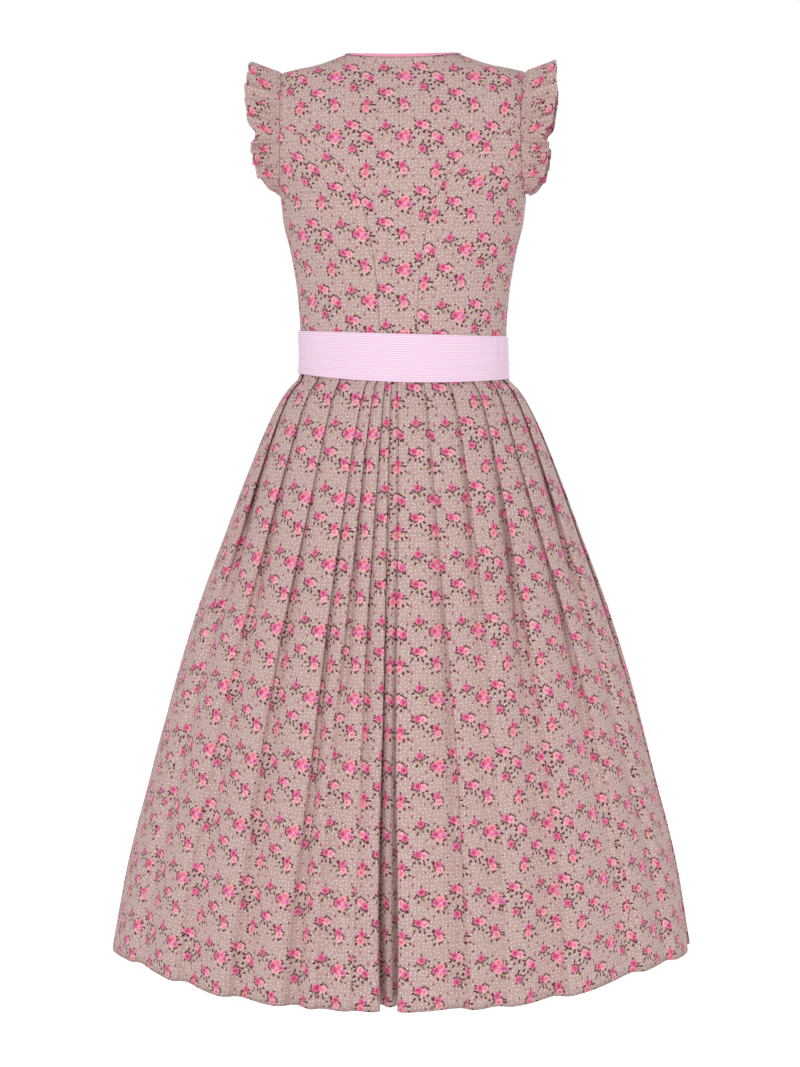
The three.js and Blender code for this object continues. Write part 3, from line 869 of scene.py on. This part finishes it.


# %% Creases, one by one
# b is for the back and f for the front. Then come the crease's two ends, as distance from the
# centre (the wearer's left is plus) and height, its half width and how far it stands out.
CREASE_FADES = 0.25
CREASES = [
    ("b", -44, -226, -92, -268, 7, 1.0),
    ("b", -40, -246, -84, -300, 7, -0.9),
    ("b", -96, -232, -128, -262, 8, 0.9),
    ("b", -60, -290, -112, -312, 7, 0.8),
    ("b", 48, -214, 112, -250, 8, 0.9),
    ("b", 62, -246, 118, -286, 7, -0.8),
    ("b", 70, -300, 116, -318, 6, 0.7),
    ("b", -20, -296, 18, -304, 7, 0.5),
    ("b", -118, -150, -90, -196, 9, 0.8),
    ("b", 120, -146, 96, -196, 9, 0.8),
    ("b", -30, -40, 34, -46, 12, 0.5),
    ("b", 84, -40, 120, -66, 9, 0.6),
    ("b", -84, -38, -122, -62, 9, 0.6),
    ("f", -50, -226, -104, -262, 8, 1.0),
    ("f", -58, -262, -112, -296, 7, -0.8),
    ("f", 52, -232, 108, -268, 8, 0.9),
    ("f", 60, -276, 112, -306, 7, 0.8),
    ("f", -122, -140, -88, -176, 9, 0.8),
    ("f", 120, -144, 90, -182, 9, 0.7),
    ("f", -86, -40, -118, -66, 9, 0.6),
    ("f", 88, -36, 120, -62, 9, 0.6),
]


def creased(points, normals):
    """Moves points along their normals by the creases near them."""
    lift = np.zeros(points.shape[:2])
    for face, x0, z0, x1, z1, wide, high in CREASES:
        run = np.array([x1 - x0, z1 - z0])
        away = points[..., [0, 2]] - (x0, z0)
        t = (away @ run) / (run @ run)
        reach = (away[..., 0] * run[1] - away[..., 1] * run[0]) / np.linalg.norm(run)
        ends = smooth((t + CREASE_FADES) / (2 * CREASE_FADES))
        ends *= smooth((1 + CREASE_FADES - t) / (2 * CREASE_FADES))
        there = points[..., 1] > 0 if face == "b" else points[..., 1] < 0
        lift += high * np.exp(-((reach / wide) ** 2)) * ends * there
    return points + normals * lift[..., None]


# %% One panel
SEAM_ROLL, SEAM_ROLL_WIDTH = 0.3, 1.6
PUCKER, PUCKER_PITCH, PUCKER_WIDTH = 0.25, 9, 6
PUCKER_SHIFT, PUCKER_DRIFT = 2, 31
PLUMB = -200
CLOSER_AT_ENDS = 0.8
LEVEL_STEP = 3.4
FALL_STEPS, LEAD_STEPS = 48, 40


def close_to_ends(count):
    """Places from 0 to 1, closer together towards both ends."""
    u = np.linspace(0, 1, count)
    return u - CLOSER_AT_ENDS * np.sin(2 * np.pi * u) / (2 * np.pi)


def neck_dip(turn, height):
    """How far the back neckline and the levels just below it dip in the middle."""
    near = np.clip(1 + height / NECK_DIP_FADES, 0, None)
    return NECK_DIP_BACK * near * np.clip(np.cos(np.radians(turn)), 0, None) ** 2


def fall(points):
    """How far down the flat cloth points of a centre panel are, down the back's curve.

    The two centre front panels are laid out by the same curve.
    """
    height = mix(PLUMB, points[..., 2:], np.linspace(0, 1, FALL_STEPS))
    wide = np.abs(points[..., :1]) / body["half"](height)
    depth = body["back"](height) * np.clip(1 - wide ** body["square"](height), 0, None) ** 0.5
    length = np.hypot(np.diff(depth, axis=-1), np.diff(height, axis=-1)).sum(axis=-1)
    return -length * np.sign(points[..., 2] - PLUMB)


def panel(heights, start, end, columns, grain, offset):
    """A panel from its first to its last angle at each height, and its places on the cloth.

    grain is the angle where the thread runs straight down.
    """
    turn = mix(start[:, None], end[:, None], close_to_ends(columns))
    level = heights[:, None] - neck_dip(turn, heights[:, None])
    points = body_points(turn, level)
    normals = body_normals(turn, level)
    across = lengths(points)
    width = across[:, -1:]
    lead = mix(grain, turn[:, :1], np.linspace(0, 1, LEAD_STEPS))
    start_at = lengths(body_points(lead, heights[:, None]))[:, -1:] * np.sign(turn[:, :1] - grain)
    reaches_shoulder = heights[-1] > SHOULDER_POINT
    down = fall(points) if reaches_shoulder else PLUMB - level
    flat = np.stack((start_at + across + offset[0], down + offset[1]), axis=-1)
    points = creased(points, normals)
    edges = np.minimum(across, width - across)
    roll = SEAM_ROLL * np.clip(1 - edges / SEAM_ROLL_WIDTH, 0, 1) ** 2
    shift = PUCKER_SHIFT * np.sin(level / PUCKER_DRIFT)
    ripple = np.sin(2 * np.pi * level / PUCKER_PITCH + shift)
    ripple = ripple * np.exp(-edges / PUCKER_WIDTH) * (edges > SEAM_GAP)
    points -= normals * (roll + PUCKER * ripple)[..., None]
    return points, flat


def levels(top):
    """A panel's levels, from just above the waist seam to its top."""
    foot = WAIST_SEAM + SEAM_GAP / 2
    return np.linspace(foot, top, int((top - foot) / LEVEL_STEP))


def outer(heights):
    """The angle of the side seam, or of the armhole above it."""
    return turn_at(heights, armhole_half(heights))


def seam_turn(seam, top, way):
    """The angle of a princess seam's edge, on its inner (-1) or outer (1) side."""

    def turn(heights):
        slant = seam(heights + 0.5) - seam(heights - 0.5)
        edge = turn_at(heights, seam(heights) + way * SEAM_GAP / 2 * np.hypot(1, slant))
        return np.where(heights >= top, outer(heights), edge)

    return turn


def neck_turn(heights):
    """The angle of the front neckline, from the centre front."""
    return turn_at(heights, neck_half(heights))


# %% Make the bodice
back_inner = seam_turn(back_seam, BACK_SEAM_TOP, -1)
back_outer = seam_turn(back_seam, BACK_SEAM_TOP, 1)
front_inner = seam_turn(front_seam, FRONT_SEAM_TOP, -1)
front_outer = seam_turn(front_seam, FRONT_SEAM_TOP, 1)
back_levels = levels(0)
back_side_levels = levels(BACK_SEAM_TOP - SEAM_GAP)
front_levels = levels(FRONT_TOP)
front_side_levels = levels(FRONT_SEAM_TOP - SEAM_GAP)

# Each panel: its levels, its first and last edge with the way round from the centre back or
# front (the wearer's right is plus at the back), its columns, its grain and where it is cut.
PANELS = {
    "back_centre": (back_levels, back_inner, -1, back_inner, 1, 76, 0, (-7, 20)),
    "back_side_right": (back_side_levels, back_outer, 1, outer, 1, 44, 50, (31, 44)),
    "back_side_left": (back_side_levels, outer, -1, back_outer, -1, 44, -50, (12, 61)),
    "front_side_right": (front_side_levels, outer, -1, front_outer, -1, 44, 130, (50, 8)),
    "front_side_left": (front_side_levels, front_outer, 1, outer, 1, 44, 230, (5, 30)),
    "front_centre_right": (front_levels, front_inner, -1, neck_turn, -1, 52, 180, (-20, 20)),
    "front_centre_left": (front_levels, neck_turn, 1, front_inner, 1, 52, 180, (-20, 20)),
}
for name, (heights, first, first_way, last, last_way, columns, grain, offset) in PANELS.items():
    face = name.split("_")[0]
    middle = 0 if face == "back" else 180
    edges = (middle + first_way * first(heights), middle + last_way * last(heights))
    points, flat = panel(heights, *edges, columns, grain, offset)
    piece = cloth(name + "_cloth", points, flat)
    finish_piece(piece, name, (cotton, cotton_reverse))
    print(piece.name, len(piece.data.polygons), "faces")

# %% [markdown]
# ## The armhole frills
#
# A frill is a straight strip gathered along one edge and sewn round the armhole. Its gathers
# are tight at the seam and open towards the free edge into uneven waves, with one deep fold
# half way up, where the cloth nearly doubles over itself. It could be left to a cloth
# simulation, but a table puts every wave where it belongs. Its rows follow the tops and the
# feet of the waves up the back: the height on the armhole, how far the edge stands out
# sideways, how far it rises away from the armhole, and how far it leans up along it. The
# crown is the wave on top of the shoulder, and the front has the back's waves in reverse.

# %% Frill waves
FRILL = table(
    "height reach rise lean",
    [
        (-163, 6, 2, 3),
        (-158, 14, 5, 4),
        (-152, 21, 1, 5),
        (-145, 26, 10, 6),
        (-138, 29, 2, 7),
        (-131, 30.5, 12, 6),
        (-125, 31.5, 3, 6),
        (-118, 32.5, 13, 5),
        (-112, 33, 4, 4),
        (-107, 32.5, 13, 1),
        (-104.5, 32, 19, -1),
        (-102, 29, 2, 0),
        (-99, 28.5, -1, 4),
        (-95, 35.5, 3, 9),
        (-88, 37.5, 13, 10),
        (-79, 38.5, 4, 9),
        (-70, 40, 14, 8),
        (-61, 41, 4, 7),
        (-52, 41.2, 14, 6),
        (-45, 40.5, 5, 4),
        (-39, 38.5, 17, 3),
        (-34.5, 37.5, 5, 3),
        (-27, 38.5, 14, 1),
    ],
)
FRILL_CROWN = {"reach": 35.5, "rise": 15, "lean": 0}
FRILL_WIDTH, FRILL_SEAM_DOWN = 46, 60
FRILL_ROWS, FRILL_COLUMNS = 20, 420
MEAN_RISE, MEAN_CURVE = 9.5, 1.3
WAVES_BACK, WAVES_FRONT, WAVE_CURVE = 1.15, 0.85, 0.8
WAVE_TOP, WAVE_FLANK, WAVE_ROUNDED = 6, 4, 0.65
GATHER_PITCH, GATHER_DEPTH, GATHERS_START, GATHERS_FADE = 6.3, 1.9, 8, 1.1
DEPTH_MEAN, DEPTH_SWING, DEPTH_VARIES = 0.6, 0.4, 13
PITCH_SHIFT, PITCH_VARIES = 1.5, 17
EDGE_TURN, EDGE_PART = 1.2, 0.05


def armhole(side, steps=400):
    """The armhole's seam, from the back underarm over the shoulder to the front underarm."""
    heights = np.linspace(FRILL["height"][0], SHOULDER_POINT, steps)
    back = body_points(side * outer(heights), heights)
    front = body_points(side * (180 - outer(heights)), heights)[::-1]
    back[-1, 1] = front[0, 1] = 0
    line = np.concatenate((back[:-1], front))
    line[:, 0] = -side * (armhole_half(line[:, 2]) + SEAM_GAP)
    return line


def frill(side):
    """A frill's points, and their places on its flat strip."""
    seam = armhole(side)
    at = lengths(seam[None])[0]
    half = len(seam) // 2
    wave_at = np.interp(FRILL["height"], seam[: half + 1, 2], at[: half + 1])
    waves = {"at": np.concatenate((wave_at, [at[half]], at[-1] - wave_at[::-1]))}
    for name, crown in FRILL_CROWN.items():
        mirror = -1 if name == "lean" else 1
        waves[name] = np.concatenate((FRILL[name], [crown], mirror * FRILL[name][::-1]))
    station = np.linspace(0, at[-1], FRILL_COLUMNS)
    reach, rise, lean = (curve(waves, "at", name)(station) for name in FRILL_CROWN)
    root = np.stack([np.interp(station, at, seam[:, i]) for i in range(3)], axis=-1)
    away = np.stack((0 * station, root[:, 1], root[:, 2] - ARMHOLE_MIDDLE), axis=-1)
    away /= np.linalg.norm(away, axis=-1, keepdims=True)
    tangent = np.gradient(root, axis=0)
    tangent /= np.linalg.norm(tangent, axis=-1, keepdims=True)
    part = close_to_ends(FRILL_ROWS)[:, None]
    wave = rise - MEAN_RISE
    wave = mix(wave, WAVE_TOP * np.tanh(wave / WAVE_FLANK), WAVE_ROUNDED)
    # The waves turn from the back's to the front's over the middle quarter of the seam.
    past_shoulder = smooth(station / at[-1] * 4 - 1.5)
    wave *= mix(WAVES_BACK, WAVES_FRONT, past_shoulder)
    lift = MEAN_RISE * part**MEAN_CURVE + wave * part**WAVE_CURVE
    depth = GATHER_DEPTH * (DEPTH_MEAN + DEPTH_SWING * np.sin(station / DEPTH_VARIES))
    phase = 2 * np.pi * station / GATHER_PITCH + PITCH_SHIFT * np.sin(station / PITCH_VARIES)
    lift += depth * np.sin(phase) * (1 - part) ** GATHERS_FADE * smooth(part * GATHERS_START)
    lift -= EDGE_TURN * np.clip(1 - (1 - part) / EDGE_PART, 0, 1) ** 2
    sideways = np.array([-side, 0, 0])
    points = (
        root
        + away * lift[..., None]
        + tangent * (lean * part)[..., None]
        + sideways * (reach * part)[..., None]
    )
    u = lengths(points).mean(axis=0)
    flat = np.stack(np.broadcast_arrays(u, FRILL_SEAM_DOWN - FRILL_WIDTH * part), axis=-1)
    if side > 0:
        points, flat = points[:, ::-1], flat[:, ::-1]
    return points, flat


for name, side in (("frill_right", 1), ("frill_left", -1)):
    points, flat = frill(side)
    piece = cloth(name + "_cloth", points, flat)
    finish_piece(piece, name, (cotton, cotton_reverse))

# %% [markdown]
# ## The sash
#
# The sash is a straight band that starts at the centre front, goes once round the waist and
# laps over its own start. Its two long edges are folded under, so they are round. It slopes
# a little to one side, as a tied band does, and its lower edge dips at the back. A ring would
# be simpler, but the lap shows where it closes.

# %% Sash
SASH_LOW, SASH_HIGH = -381, -330
SASH_SLOPE = 0.027
SASH_DIP_BACK = 5
SASH_FACE = 2.5
SASH_LAP, SASH_OVER, SASH_CLIMB = 14, 1.9, 1.5
SASH_ROUND, SASH_ROUND_WIDTH = 1.1, 2.2
# Slack in the cloth: how deep, how many waves round the waist, and how they drift downwards.
SASH_SLACK = [(0.35, 5, 19), (0.25, 11, -9)]
SASH_DENT = {"turn": 428, "level": -346, "deep": 0.9, "wide": 2.2, "tall": 14}
SASH_ROWS, SASH_COLUMNS = 40, 420


def girth_points(turn, height):
    """What the sash lies on: the bodice above the waist seam and the skirt below it."""
    above = body_points(turn, np.maximum(height, WAIST_SEAM))
    below = skirt_points(turn, np.clip(WAIST_SEAM - height, 0, None))
    return np.where((height >= WAIST_SEAM)[..., None], above, below)


start, end = 180 - SASH_LAP, 540 + SASH_LAP
turn = np.linspace(start, end, SASH_COLUMNS)[None, :]
part = close_to_ends(SASH_ROWS)[:, None]
level = mix(SASH_LOW, SASH_HIGH, part) + 0 * turn
dip = SASH_DIP_BACK * np.clip(np.cos(np.radians(turn)), 0, None) ** 2 * (1 - part)
height = level + SASH_SLOPE * girth_points(turn + 0 * level, level)[..., 0] - dip
inner = girth_points(turn + 0 * height, height)
outward = inner * [1, 1, 0]
outward /= np.linalg.norm(outward, axis=-1, keepdims=True)
# The lap has climbed by the time it comes round to the sash's own start.
over = smooth((turn - (start + 360 - 2 * SASH_LAP)) / (SASH_CLIMB * SASH_LAP))
edge = np.minimum(level - SASH_LOW, SASH_HIGH - level)
lift = SASH_FACE + SASH_OVER * over - SASH_ROUND * np.clip(1 - edge / SASH_ROUND_WIDTH, 0, 1) ** 2
for deep, waves, drift in SASH_SLACK:
    lift += deep * np.sin(np.radians(turn) * waves + level / drift)
aside = (turn - SASH_DENT["turn"]) / SASH_DENT["wide"]
above = (level - SASH_DENT["level"]) / SASH_DENT["tall"]
lift -= SASH_DENT["deep"] * np.exp(-(aside**2)) * np.exp(-(above**2))
sash_shape = inner + outward * lift[..., None]
sash_u = lengths(sash_shape).mean(axis=0)[None, :] + 0 * level
sash_flat = np.stack((sash_u, SASH_HIGH - level), axis=-1)
piece = cloth("sash_cloth", sash_shape, sash_flat, thickness=0.9)
finish_piece(piece, "sash", (sash_cotton,))

# %% [markdown]
# ## The neck edging
#
# A narrow strip of plain pink cotton, cut on the bias so that it takes the curve, is folded
# over the raw edge of the neck. Its section is a small arch. A bevelled curve would give a
# round cord, so the arch is carried along the neck point by point.

# %% Edging
EDGING_LEG = 2.4
EDGING_RADIUS = 1.2
EDGING_LIFT = -1.0
EDGING_INSET = 0.8
NECK_STEPS_FRONT, NECK_STEPS_BACK = 90, 140

front_angle = np.linspace(0, 0.5 * np.pi, NECK_STEPS_FRONT)[:-1]
front_height = -NECK_DROP_FRONT * np.cos(front_angle)
front_half = np.maximum(NECK_HALF * np.sin(front_angle), SEAM_GAP / 2)
front_turn = turn_at(front_height, front_half)
back_turn = np.linspace(90, -90, NECK_STEPS_BACK)
neck_turns = np.concatenate((180 - front_turn, back_turn, -180 + front_turn[::-1]))
neck_heights = np.concatenate((front_height, 0 * back_turn, front_height[::-1]))
neck_heights -= neck_dip(neck_turns, neck_heights)
neck_line = body_points(neck_turns, neck_heights)
neck_out = body_normals(neck_turns, neck_heights)
along = np.gradient(neck_line, axis=0)
along /= np.linalg.norm(along, axis=-1, keepdims=True)
neck_up = np.cross(neck_out, along)
neck_up /= np.linalg.norm(neck_up, axis=-1, keepdims=True)
neck_up *= np.sign(neck_up[:, 2:])
arch = np.linspace(0, np.pi, 11)
face_leg, inner_leg = np.array([0, 0.5]), np.array([0.5, 0, -0.5, -1])
section_out = EDGING_RADIUS * np.concatenate((1 + 0 * face_leg, np.cos(arch), -1 + 0 * inner_leg))
section_up = EDGING_LIFT + EDGING_LEG * np.concatenate((face_leg, 1 + 0 * arch, inner_leg))
section_up += EDGING_RADIUS * np.concatenate((0 * face_leg, np.sin(arch), 0 * inner_leg))
edging_shape = (
    neck_line
    + (section_out[:, None, None] - EDGING_INSET) * neck_out
    + section_up[:, None, None] * neck_up
)
edging_u = lengths(edging_shape).mean(axis=0)[None, :] + 0 * section_out[:, None]
edging_v = lengths(edging_shape.transpose(1, 0, 2)).mean(axis=0)[:, None] + 0 * edging_u
edging_flat = np.stack((edging_u, edging_v), axis=-1)
piece = cloth("neck_edge_cloth", edging_shape, edging_flat, thickness=0.5)
finish_piece(piece, "neck_edge", (edging_cotton,))

# %% [markdown]
# ## Room and light
#
# The dress hangs over a plain white floor in a white room. The light is what a studio gives
# cloth: an even glow from all round, a large soft lamp behind the wearer and one before them,
# each a little to the side, and two weak ones low at the sides that lift the skirt. The lamp
# behind could be small and hard, but a soft one shows each pleat's edge and still keeps the
# colours of the print.

# %% Floor and light
FLOOR, FLOOR_RADIUS = -1.42, 9
ROOM_GLOW = 0.62

bpy.ops.mesh.primitive_circle_add(
    vertices=96, radius=FLOOR_RADIUS, fill_type="NGON", location=(0, 0, FLOOR)
)
floor = bpy.context.object
floor.name = "floor"
paper = bpy.data.materials.new("white_paper")
paper.use_nodes = True
paper_shader = paper.node_tree.nodes["Principled BSDF"]
paper_shader.inputs["Base Color"].default_value = (0.9, 0.9, 0.9, 1)
paper_shader.inputs["Roughness"].default_value = 0.9
paper_shader.inputs["Emission Color"].default_value = (1, 1, 1, 1)
paper_shader.inputs["Emission Strength"].default_value = 0.5
floor.data.materials.append(paper)
floor.visible_diffuse = False
floor.visible_glossy = False

world = bpy.data.worlds.new("room")
bpy.context.scene.world = world
world.use_nodes = True
room = world.node_tree
room_light = room.nodes["Background"]
room_light.inputs["Color"].default_value = (1, 1, 1, 1)
room_light.inputs["Strength"].default_value = ROOM_GLOW
seen = room.nodes.new("ShaderNodeBackground")
seen.inputs["Color"].default_value = (1, 1, 1, 1)
looking = room.nodes.new("ShaderNodeLightPath")
either = room.nodes.new("ShaderNodeMixShader")
room.links.new(looking.outputs["Is Camera Ray"], either.inputs[0])
room.links.new(room_light.outputs[0], either.inputs[1])
room.links.new(seen.outputs[0], either.inputs[2])
room.links.new(either.outputs[0], room.nodes["World Output"].inputs["Surface"])


def lamp(name, place, size, power, aim=-0.6):
    """A large square lamp that faces the dress at a height."""
    data = bpy.data.lights.new(name, "AREA")
    data.shape = "SQUARE"
    data.size = size
    data.energy = power
    made = bpy.data.objects.new(name, data)
    bpy.context.collection.objects.link(made)
    made.location = place
    made.rotation_euler = (Vector((0, 0, aim)) - made.location).to_track_quat("-Z", "Y").to_euler()
    return made


key = lamp("key", (0.65, 4.0, 0.1), 1.2, 53.5)
front = lamp("front", (-1.0, -4.2, 0.7), 2.0, 62)
low_left = lamp("low_left", (2.2, 0.9, -1.1), 1.2, 5, -0.9)
low_right = lamp("low_right", (-2.2, 0.9, -1.1), 1.2, 11, -0.9)
print("lamps", key.name, front.name, low_left.name, low_right.name)
